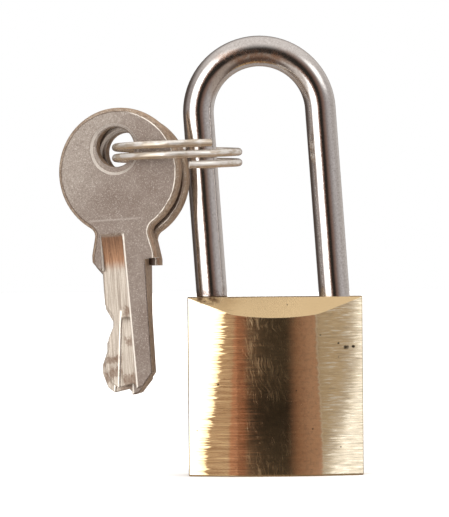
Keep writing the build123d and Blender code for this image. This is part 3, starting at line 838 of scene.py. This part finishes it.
def brass_reflections_and_mottle(g, b, colour):
    """A painted dark middle, and painted copper reflections that deepen to the crown's edges and
    end past them.
    """
    # Painted dark reflection down the middle of the front.
    cleared = g.flip(g.times(g.flip(b.clean), Brass.DARK_MIDDLE_HAZY))
    middle_spread = g.step(b.grime, *Brass.DARK_MIDDLE_SPREAD)
    middle = g.between(b.x, *Brass.DARK_MIDDLE)
    colour = g.over(colour, Brass.DARK_MIDDLE_COLOUR, middle, b.flanks, middle_spread, cleared)

    # Painted copper reflections on either side, their outer edges ragged and slanting.
    ragged = g.plus(b.x, g.centred(g.noise(b.lay, *Brass.RAGGED), Brass.RAGGED_REACH))
    past_left = g.less(ragged, g.step(b.z, *Brass.LEFT_COPPER_EDGE))
    left = g.times(
        g.step(ragged, *Brass.LEFT_COPPER_INNER), g.step(past_left, *Brass.LEFT_COPPER_OUTER)
    )
    past_right = g.less(ragged, g.step(b.z, *Brass.RIGHT_COPPER_EDGE))
    right = g.times(
        g.step(ragged, *Brass.RIGHT_COPPER_INNER), g.step(past_right, *Brass.RIGHT_COPPER_OUTER)
    )
    copper_bands = g.larger(left, right)
    colour = g.over(colour, Brass.COPPER_REFLECTION_COLOUR, copper_bands, b.flanks, Brass.COPPER_REFLECTION_COAT)

    mottled = g.between(b.x, *Brass.MOTTLED)
    mottle = g.step(g.noise(b.p, *Brass.MOTTLE), *Brass.MOTTLE_STEP)
    colour = g.over(colour, Brass.MOTTLE_COLOUR, mottled, b.flanks, mottle)
    # A painted highlight along the right band's outer edge.
    crest = g.between(past_right, *Brass.CREST)
    spread = g.step(b.grime, *Brass.CREST_GRIME)
    return g.over(colour, Brass.CREST_HIGHLIGHT, crest, b.flanks, spread)


def brass_colour(g, b, strokes):
    """The brass before wear, darker patches and pits, with painted highlights and reflections."""
    cloud = g.step(g.noise(b.p, *Brass.CLOUD), *Brass.CLOUD_STEP)
    colour = g.mix(cloud, Brass.LIGHT, Brass.DEEP)
    # Painted highlight: the white box mirrored on the left flank, and on the right flank's foot.
    pale = g.step(strokes.past_left, *Brass.PALE_LEFT)
    colour = g.over(colour, Brass.PALE, pale, b.flanks, Brass.PALE_LEFT_COAT)
    colour = g.over(colour, Brass.PALE, strokes.foot, Brass.PALE_RIGHT_COAT)
    colour = g.over(colour, Brass.FINE_COLOUR, g.step(b.fine, *Brass.FINE_STEP))
    # Painted streaks of shade and highlight along the brush marks.
    dark = g.step(strokes.marks, *Brass.MARK_DARK)
    colour = g.over(colour, Brass.MARK_SHADE_COLOUR, strokes.marked, dark)
    light = g.step(strokes.marks, *Brass.MARK_LIGHT)
    colour = g.over(colour, Brass.MARK_HIGHLIGHT_COLOUR, strokes.marked, light)
    # Painted highlight: the upward bevel a little lighter.
    colour = g.over(colour, Brass.BEVEL_HIGHLIGHT, b.bevel, Brass.BEVEL_COAT)
    return brass_reflections_and_mottle(g, b, colour)


def brass_tilts(g, b, strokes, scuffed, worn):
    """How far strokes and scuffs tilt the normal, away from the edges."""
    sway = g.summed(
        g.centred(b.across, Brass.SWAY_ACROSS),
        (scuffed, Brass.SWAY_SCUFFED),
        (g.centred(b.coarse, Brass.SWAY_COARSE), g.step(b.x, *Brass.RIGHT_STRIP)),
    )
    sway = g.plus(sway, strokes.turn)
    crown = g.between(b.x, *Brass.CROWN)
    calm = g.summed(1.0, (crown, Brass.CALM_CROWN), (b.bevel, Brass.CALM_BEVEL))
    brushed = g.plus(g.centred(b.coarse, Brass.NOD_COARSE), g.centred(b.fine, Brass.NOD_FINE))
    nod = g.summed(
        g.times(brushed, calm),
        (strokes.foot, Brass.NOD_FOOT),
        (strokes.marked, g.step(strokes.marks, *Brass.MARK_TILT)),
    )
    plain = g.step(worn, *Brass.EDGE_PLAIN)
    return g.join(g.times(sway, plain), 0.0, g.times(nod, plain))


def brushed_brass():
    """Brass brushed level all round, with painted reflections and highlights, a mottle, pits and
    fine scuffs.
    """
    made, g = material("brushed_brass")
    b = brass_base(g)
    strokes = brass_strokes(g, b)
    scuffed = brass_scuffs(g, b)
    darkening = brass_darkening(g, b)
    rounded = g.edge_normal(Brass.EDGE)
    worn = g.worn(rounded, Brass.WORN)

    colour = brass_colour(g, b, strokes)
    colour = g.over(colour, WORN_BRASS, worn, Brass.WORN_COAT)
    colour = g.over(colour, Brass.DARKENING_COLOUR, darkening)
    colour = g.over(colour, Brass.PIT_COLOUR, brass_pits(g, b))
    rough = g.summed(
        Brass.ROUGH,
        (b.fine, Brass.ROUGH_FINE),
        (g.times(g.between(b.x, *Brass.SMOOTH), b.clean), Brass.ROUGH_SMOOTH),
        (scuffed, Brass.ROUGH_SCUFFED),
        (darkening, Brass.ROUGH_DARKENING),
    )
    g.surface(
        colour,
        rough,
        Anisotropic=Brass.ANISOTROPIC,
        Anisotropic_Rotation=Brass.ANISOTROPIC_TURN,
        Tangent=g.add("ShaderNodeTangent", direction_type="RADIAL", axis="Z").outputs[0],
        Normal=g.tilt(rounded, brass_tilts(g, b, strokes, scuffed, worn)),
    )
    return made


def turned_brass(name, light, deep, swirl):
    """Plainer brass for the plug, the slugs and the pins: turned marks and a little tarnish."""
    made, g = material(name)
    p = g.place()
    grime = g.noise(p, *Turned.GRIME)
    marks = g.noise(g.stretch(p, swirl), *Turned.MARKS)
    rounded = g.edge_normal(Turned.EDGE)
    colour = g.mix(g.step(grime, *Turned.GRIME_STEP), light, deep)
    colour = g.over(colour, WORN_BRASS, g.worn(rounded, Turned.WORN), Turned.WORN_COAT)
    tilts = g.join(
        g.centred(marks, Turned.TILT_MARKS),
        g.centred(grime, Turned.TILT_GRIME),
        g.centred(marks, -Turned.TILT_MARKS),
    )
    rough = g.summed(Turned.ROUGH, (marks, Turned.ROUGH_MARKS))
    g.surface(colour, rough, Normal=g.tilt(rounded, tilts))
    return made


def plated_steel():
    """The shackle's plating: bright, drawn along the rod, gritty, rubbed warm on the bow's front
    and darker brown towards the toe leg's foot."""
    made, g = material("plated_steel")
    p = g.place()
    x, _, z = g.split(p)
    drawn = g.noise(g.stretch(p, Plating.DRAWN_STRETCH), *Plating.DRAWN)
    speck = g.noise(p, *Plating.SPECK)
    grime = g.noise(p, *Plating.GRIME)
    grit = g.noise(p, *Plating.GRIT)
    spots = g.step(speck, *Plating.SPOTS)
    away = g.vector("SUBTRACT", p, Plating.RUBBED_AT)
    apart = g.dot(away, g.stretch(away, Plating.RUBBED_WEIGHTS))
    rubbed = g.times(g.step(apart, *Plating.RUBBED), g.step(grime, *Plating.RUBBED_GRIME))
    foot = g.times(
        g.step(z, *Plating.FOOT_HIGH),
        g.step(x, *Plating.FOOT_WIDE),
        g.step(grime, *Plating.FOOT_SPREAD),
    )

    colour = g.mix(g.step(drawn, *Plating.DRAWN_STEP), Plating.LIGHT, Plating.DEEP)
    colour = g.over(colour, Plating.RUBBED_COLOUR, rubbed, Plating.BROWN_COAT)
    colour = g.over(colour, Plating.FOOT_COLOUR, foot, Plating.BROWN_COAT)
    colour = g.over(colour, Plating.SPOT_COLOUR, spots, Plating.SPOT_COAT)
    mottle = g.step(g.noise(p, *Plating.MOTTLE), *Plating.MOTTLE_STEP)
    colour = g.over(colour, Plating.MOTTLE_COLOUR, mottle)
    colour = g.over(colour, Plating.GRIT_DARK_COLOUR, g.step(grit, *Plating.GRIT_DARK))
    colour = g.over(colour, Plating.GRIT_LIGHT_COLOUR, g.step(grit, *Plating.GRIT_LIGHT))
    rough = g.summed(
        Plating.ROUGH,
        (drawn, Plating.ROUGH_DRAWN),
        (spots, Plating.ROUGH_SPOTS),
        (g.plus(rubbed, foot), Plating.ROUGH_BROWN),
    )
    wave = g.centred(g.noise(p, *Plating.WAVE), Plating.TILT_WAVE)
    along = g.plus(wave, g.centred(drawn, Plating.TILT_DRAWN))
    tilts = g.join(
        g.plus(along, g.centred(grit, Plating.TILT_GRIT)),
        g.centred(g.noise(p, *Plating.SWELL), Plating.TILT_SWELL),
        g.centred(speck, Plating.TILT_SPECK),
    )
    g.surface(colour, rough, Normal=g.tilt(g.edge_normal(Plating.EDGE), tilts))
    return made


def ring_nickel():
    """The ring's wire: hazy nickel, painted warm shade below and on top, tan in patches, with light
    scratches.
    """
    made, g = material("ring_nickel")
    p = g.place()
    upward = g.split(g.own_normal())[2]
    grime = g.noise(p, *Ring.GRIME)
    scratch = g.noise(g.stretch(p, Ring.SCRATCH_STRETCH), *Ring.SCRATCH)
    patchy = g.noise(g.stretch(p, Ring.PATCH_STRETCH), *Ring.PATCH)
    # Painted warm shade on the underside and the top of the wire.
    under = g.times(g.step(upward, *Ring.UNDER), g.step(grime, *Ring.UNDER_SPREAD))
    over = g.times(g.step(upward, *Ring.OVER), g.step(grime, *Ring.OVER_SPREAD))
    edge_shade = g.larger(g.times(under, Ring.UNDER_COAT), g.times(over, Ring.OVER_COAT))

    colour = g.mix(g.step(scratch, *Ring.SCRATCH_STEP), Ring.LIGHT, Ring.DEEP)
    colour = g.over(colour, Ring.PATCH_COLOUR, g.step(patchy, *Ring.PATCH_STEP))
    colour = g.over(colour, Ring.EDGE_SHADE_COLOUR, edge_shade)
    rough = g.summed(Ring.ROUGH, (scratch, Ring.ROUGH_SCRATCH))
    tilts = g.join(
        g.centred(grime, Ring.TILT_GRIME),
        *(g.centred(scratch, reach) for reach in Ring.TILT_SCRATCH),
    )
    normal = g.tilt(g.edge_normal(Ring.EDGE), tilts)
    g.surface(colour, rough, Ring.METALLIC, Normal=normal)
    return made


def spring_wire():
    """Drawn spring wire, hidden in the body."""
    made, g = material("spring_wire")
    drawn = g.noise(g.place(), *Wire.DRAWN)
    colour = g.mix(g.step(drawn, *Wire.DRAWN_STEP), Wire.LIGHT, Wire.DEEP)
    g.surface(colour, g.summed(Wire.ROUGH, (drawn, Wire.ROUGH_DRAWN)))
    return made


def ground_steel():
    """Ground steel for the bolt and the heel's pin."""
    made, g = material("ground_steel")
    marks = g.noise(g.stretch(g.place(), Ground.MARK_STRETCH), *Ground.MARKS)
    colour = g.mix(g.step(marks, *Ground.MARK_STEP), Ground.LIGHT, Ground.DEEP)
    rough = g.summed(Ground.ROUGH, (marks, Ground.ROUGH_MARKS))
    tilts = g.join(g.centred(marks, Ground.TILT), 0.0, g.centred(marks, Ground.TILT))
    g.surface(colour, rough, Normal=g.tilt(g.edge_normal(Ground.EDGE), tilts))
    return made


def key_base(g, hole, lean, seed):
    """What a key's parts share: its own frame, its faces and its noise."""

    def noise(vector, scale, detail, roughness, further):
        return g.noise(vector, scale, detail, roughness, seed + further)

    across = Key.LEVEL * math.cos(lean) + Vector((0.0, 0.0, math.sin(lean)))
    up = Key.FACING.cross(across)
    own = g.vector("SUBTRACT", g.place(), hole)
    u = g.dot(own, across)
    v = g.dot(own, up)
    w = g.dot(own, Key.FACING)
    flat = g.own_normal()
    face = g.dot(flat, Key.FACING)
    local = g.join(u, v, w)
    blade = g.step(v, *Key.BLADE)
    milled = g.times(g.step(face, *Key.MILLED_FACE), blade, g.step(w, *Key.MILLED_DEEP))
    return SimpleNamespace(
        noise=noise,
        across=across,
        up=up,
        u=u,
        v=v,
        w=w,
        flat=flat,
        face=face,
        facing=g.absolute(face),
        local=local,
        level=g.join(u, v, 0.0),
        blade=blade,
        milled=milled,
        right=g.step(u, *Key.RIGHT),
        grain=noise(local, *Key.GRAIN),
        grime=noise(local, *Key.GRIME),
        hair=noise(g.stretch(local, Key.HAIR_STRETCH), *Key.HAIR),
        speck=g.step(noise(local, *Key.SPECK), *Key.SPECK_STEP),
    )


def key_face(g, k):
    """The face: paler towards the bow's upper left, with flecks where the plating is rough."""
    cloud = g.step(k.noise(k.local, *Key.CLOUD), *Key.CLOUD_STEP)
    colour = g.mix(cloud, Key.LIGHT, Key.DEEP)
    upper_left = g.step(g.dot(k.local, Key.UPPER_LEFT_WAY), *Key.UPPER_LEFT)
    colour = g.over(colour, Key.PALE, upper_left, Key.PALE_COAT)
    flecks = k.noise(k.local, *Key.FLECKS)
    uneven = g.summed(Key.FLECK_LEAST, (upper_left, Key.FLECK_UPPER_LEFT))
    colour = g.over(colour, Key.FLECK_LIGHT_COLOUR, g.step(flecks, *Key.FLECK_LIGHT), uneven)
    colour = g.over(colour, Key.FLECK_DARK_COLOUR, g.step(flecks, *Key.FLECK_DARK), uneven)
    colour = g.over(colour, Key.GRAIN_COLOUR, g.step(k.grain, *Key.GRAIN_STEP))
    colour = g.over(colour, Key.SPECK_COLOUR, k.speck, Key.SPECK_COAT)
    height = g.plus(k.v, g.centred(k.grime, Key.NECK_WAVER))
    neck = g.times(g.between(height, *Key.NECK), g.between(k.u, *Key.NECK_WIDE))
    return g.over(colour, Key.SPECK_COLOUR, neck, g.step(k.grain, *Key.NECK_GRAIN))


def key_rim(g, k, colour):
    """The rolled rim: tan, with a wavering crease, painted dark as shade on the left and as a glint
    on the right.
    """
    from_bow = g.vector("SUBTRACT", k.level, Key.BOW_MIDDLE)
    outer = g.larger(
        g.step(g.length(from_bow), *Key.BOW_RIM), g.step(k.v, *Key.SHOULDER_RIM)
    )
    outer = g.times(outer, g.step(k.v, *Key.RIM_STOP))
    rim = g.times(g.step(k.facing, *Key.RIM), outer)
    tan = g.mix(g.step(k.grime, *Key.TAN_GRIME), Key.TAN_LIGHT, Key.TAN_DEEP)
    tan = g.over(tan, Key.TAN_SPECK, k.speck, Key.TAN_SPECK_COAT)
    colour = g.over(colour, tan, rim, Key.RIM_COAT)

    waver = g.plus(g.centred(k.grime, Key.CREASE_GRIME), g.centred(k.hair, Key.CREASE_HAIR))
    crease = g.times(
        outer,
        g.step(k.facing, *Key.CREASE_STOP),
        g.between(g.plus(k.facing, waver), *Key.CREASE),
    )
    # Painted shade along the crease on the left; on the right it is a painted glint.
    shaded = g.times(g.flip(k.right), Key.CREASE_COAT)
    colour = g.over(colour, Key.CREASE_SHADE, crease, shaded)
    glint = g.times(crease, k.right, g.step(k.grime, *Key.GLINT_GRIME))
    return g.over(colour, Key.BRIGHT, glint), rim, glint


def key_sides(g, k, colour):
    """The stamped sides, streaked dark brown as painted shade."""
    streak = k.noise(g.stretch(k.local, Key.STREAK_STRETCH), *Key.STREAK)
    brown = g.mix(g.step(streak, *Key.STREAK_STEP), Key.SIDE_LIGHT, Key.SIDE_DEEP)
    side = g.step(k.facing, *Key.SIDE)
    return g.over(colour, brown, side, g.step(k.grime, *Key.SIDE_GRIME)), side


def key_milling(g, k, colour):
    """The milled strokes: striped by the cutter, browned at their start, smudged near the tip."""
    stripe = k.noise(g.stretch(k.local, Key.STRIPE_STRETCH), *Key.STRIPE)
    striped = g.step(stripe, *Key.STRIPE_STEP)
    cream = g.mix(striped, Key.CREAM_LIGHT, Key.CREAM_DEEP)
    cream = g.over(cream, Key.CREAM_GRAIN_COLOUR, g.step(k.grain, *Key.CREAM_GRAIN))
    smear = k.noise(g.stretch(k.local, Key.SMEAR_STRETCH), *Key.SMEAR)
    wander_across, wander_up = Key.SMUDGE_WANDER
    u = g.plus(k.u, g.centred(k.grime, wander_across))
    v = g.plus(k.v, g.centred(smear, wander_up))
    smudge = 0.0
    for first, last, high, low in Key.SMUDGES:
        wide = g.between(u, first, last, Key.SMUDGE_SOFT)
        smudge = g.larger(smudge, g.times(wide, g.between(v, -low, -high, Key.SMUDGE_SOFT)))
    cream = g.over(cream, Key.SMUDGE_COLOUR, smudge, g.step(smear, *Key.SMEAR_STEP))
    start = g.step(g.plus(k.v, g.centred(stripe, Key.START_WAVER)), *Key.START)
    cream = g.over(cream, g.mix(striped, Key.START_LIGHT, Key.START_DEEP), start)
    return g.over(colour, cream, k.milled)


def stroke_edge(g, k, edge, slant, drop, start, band):
    """A narrow band along one edge of a milled stroke."""
    beside = g.less(k.u, g.plus(edge, g.times(g.less(-drop, k.v), slant)))
    return g.times(g.between(beside, *band), g.step(k.v, -drop, -drop - start))


def key_bright(g, k, rounded):
    """Painted highlights: the strokes' lips, their walls that look right, worn edges and the dish.
    """
    outside = g.times(g.step(k.w, *Key.LIP_OUT), g.step(k.face, *Key.LIP_FACE))
    lip = g.times(stroke_edge(g, k, *Key.LIP), outside)
    ridge = g.times(stroke_edge(g, k, *Key.RIDGE), k.milled, g.step(k.grime, *Key.RIDGE_GRIME))
    lips = g.times(g.larger(lip, ridge), Key.LIP_COAT)
    wall = g.times(
        g.step(k.u, *Key.WALL_WIDE),
        k.blade,
        g.step(g.dot(k.flat, k.across), *Key.WALL),
        g.step(k.w, *Key.WALL_OUT),
    )
    edges = g.times(g.worn(rounded, Key.WORN), g.step(k.grime, *Key.WORN_GRIME))
    dish = g.times(
        g.between(g.length(k.level), *Key.DISH), g.between(k.face, *Key.DISH_FACE)
    )
    lit = g.times(dish, g.step(g.plus(k.u, k.v), *Key.DISH_LIGHT))
    bright = g.larger(g.larger(edges, g.larger(lips, wall)), lit)
    return bright, g.larger(wall, dish)


def key_nickel(name, hole, lean, seed):
    """A stamped key: grainy satin faces, a rolled rim, brown sides of painted shade, striped milled
    strokes and painted highlights.
    """
    made, g = material(name)
    k = key_base(g, hole, lean, seed)
    rounded = g.edge_normal(Key.EDGE)
    colour, rim, glint = key_rim(g, k, key_face(g, k))
    colour, side = key_sides(g, k, colour)
    colour = key_milling(g, k, colour)
    bright, matt = key_bright(g, k, rounded)
    # Painted highlights on the lips, the walls that look right, the worn edges and the dish.
    colour = g.over(colour, Key.BRIGHT, bright)
    brown = g.times(g.larger(rim, side), Key.BROWN_DIELECTRIC)
    metallic = g.flip(g.larger(brown, matt))
    rough = g.summed(Key.ROUGH, (k.grain, Key.ROUGH_GRAIN), (k.milled, Key.ROUGH_MILLED))

    sway = g.plus(g.centred(k.hair, Key.SWAY_HAIR), g.centred(k.grain, Key.SWAY_GRAIN))
    nod = g.centred(k.noise(k.local, *Key.NOD), Key.NOD_REACH)
    tilts = g.vector("ADD", g.scaled(k.across, sway), g.scaled(k.up, nod))
    outward = g.scaled(Key.FACING, g.times(glint, Key.GLINT_TILT))
    normal = g.tilt(rounded, g.vector("ADD", tilts, outward))
    g.surface(colour, rough, metallic, Normal=normal)
    return made


def dimmed(colour):
    """A light's colour as a share of the studio's peak, so that ramps can hold it."""
    return tuple(part / Studio.PEAK for part in colour)


def studio():
    """A studio that the camera sees as white. The metal mirrors a white box on the left, grey tones
    on the right and behind, a dark gap in front, a card high on the right, a pale top and warm
    low tones."""
    world = bpy.data.worlds.new("studio")
    scene.world = world
    g = Graph(world)
    x, y, z = g.split(g.add("ShaderNodeTexCoord").outputs["Generated"])
    turn = g.math("ARCTAN2", x, g.times(y, -1.0))
    rise = g.math("ARCSINE", z)
    share = g.plus(g.times(turn, 1 / math.tau), Studio.FRONT_STOP)
    stops = [
        (Studio.FRONT_STOP + degrees / Studio.FULL_TURN, dimmed(colour))
        for degrees, colour in Studio.ROUND_ABOUT
    ]
    light = g.ramp(share, stops)
    light = g.over(light, dimmed(Studio.TOP), g.step(rise, *Studio.ABOVE))
    card = g.times(g.between(turn, *Studio.CARD_TURN), g.between(rise, *Studio.CARD_RISE))
    light = g.over(light, dimmed(Studio.CARD), card)
    below = g.step(rise, *Studio.BELOW)
    light = g.over(light, dimmed(Studio.LOW), below, Studio.BELOW_COAT)
    behind = g.step(y, *Studio.BEHIND)
    ground = g.mix(behind, dimmed(Studio.GROUND), dimmed(Studio.GROUND_BEHIND))
    light = g.over(light, ground, g.step(rise, *Studio.DEEP), Studio.DEEP_COAT)
    seen = g.add("ShaderNodeLightPath").outputs["Is Camera Ray"]
    light = g.over(light, dimmed(Studio.SEEN), seen)
    background = g.add("ShaderNodeBackground", {"Color": light, "Strength": Studio.PEAK})
    g.add("ShaderNodeOutputWorld", {"Surface": background.outputs[0]})


def coil(node, body):
    """A spring's own copy in its node's place, attached to a body, with the node hidden."""
    made = bpy.data.objects.new(f"{node}_coil", nodes[node].data.copy())
    scene.collection.objects.link(made)
    made.matrix_world = nodes[node].matrix_world.copy()
    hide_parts(node)
    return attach(made, body)


def springs():
    """Each spring is swapped for its own copy with its own mesh: the shackle's spring on its own
    body, the driver springs on the lock body.
    """
    lifted = coil("shackle_spring", "shackle_spring")
    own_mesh(lifted)
    for i in TUMBLERS:
        pressed = coil(f"driver_spring_{i}", "lock_body")
        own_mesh(pressed)


def floor():
    """A large pale floor at the body's foot, softly lit from above."""
    mesh = bpy.data.meshes.new("floor")
    reach = Studio.FLOOR_REACH
    corners = [(-reach, -reach, 0), (reach, -reach, 0), (reach, reach, 0), (-reach, reach, 0)]
    mesh.from_pydata(corners, [], [(0, 1, 2, 3)])
    plane = bpy.data.objects.new("floor", mesh)
    scene.collection.objects.link(plane)
    made, g = material("pale_floor")
    g.surface(Studio.FLOOR_COLOUR, Studio.FLOOR_ROUGH, metallic=0.0)
    mesh.materials.append(made)
    plane.visible_glossy = False

    lamp = bpy.data.lights.new("overhead", "SUN")
    lamp.angle = Studio.LAMP_SPREAD
    lamp.energy = Studio.LAMP_ENERGY
    overhead = bpy.data.objects.new("overhead", lamp)
    overhead.visible_camera = False
    overhead.visible_glossy = False
    scene.collection.objects.link(overhead)


def camera():
    """A long lens nearly square to the front, aimed at the middle of the picture."""
    data = bpy.data.cameras.new("camera")
    made = bpy.data.objects.new("camera", data)
    scene.collection.objects.link(made)
    data.lens = View.LENS
    data.sensor_width = View.SENSOR
    data.clip_start = View.CLIP_START
    data.clip_end = View.CLIP_END
    distance = View.LENS / View.SENSOR * View.PIXELS_HIGH / View.PIXELS_PER_MM * MM
    back = Vector((0.0, -math.cos(View.RISE), math.sin(View.RISE)))
    made.location = Vector(View.TARGET) * MM + back * distance
    made.rotation_euler = (-back).to_track_quat("-Z", "Y").to_euler()
    made.rotation_euler.rotate_axis("Z", View.ROLL)
    scene.camera = made


dress(brushed_brass(), "lock_body")
dress(turned_brass("plug_face", *Turned.PLUG), "plug")
slug_brass = turned_brass("slug_brass", *Turned.SLUG)
dress(slug_brass, "bolt_bore_plug", "chamber_plugs", "plug_retaining_pin")
dress(plated_steel(), "shackle")
dress(ring_nickel(), "split_ring")
dress(key_nickel("key_front_nickel", *Key.FRONT), "key_front")
dress(key_nickel("key_rear_nickel", *Key.REAR), "key_rear")
dress(ground_steel(), "bolt", "shackle_retaining_pin")
pin_brass = turned_brass("pin_brass", *Turned.PIN)
wire = spring_wire()
dress(wire, "shackle_spring", "bolt_spring")
for i in TUMBLERS:
    dress(pin_brass, f"key_pin_{i}", f"driver_pin_{i}")
    dress(wire, f"driver_spring_{i}")

springs()
studio()
floor()
camera()
scene.view_settings.view_transform = "Standard"
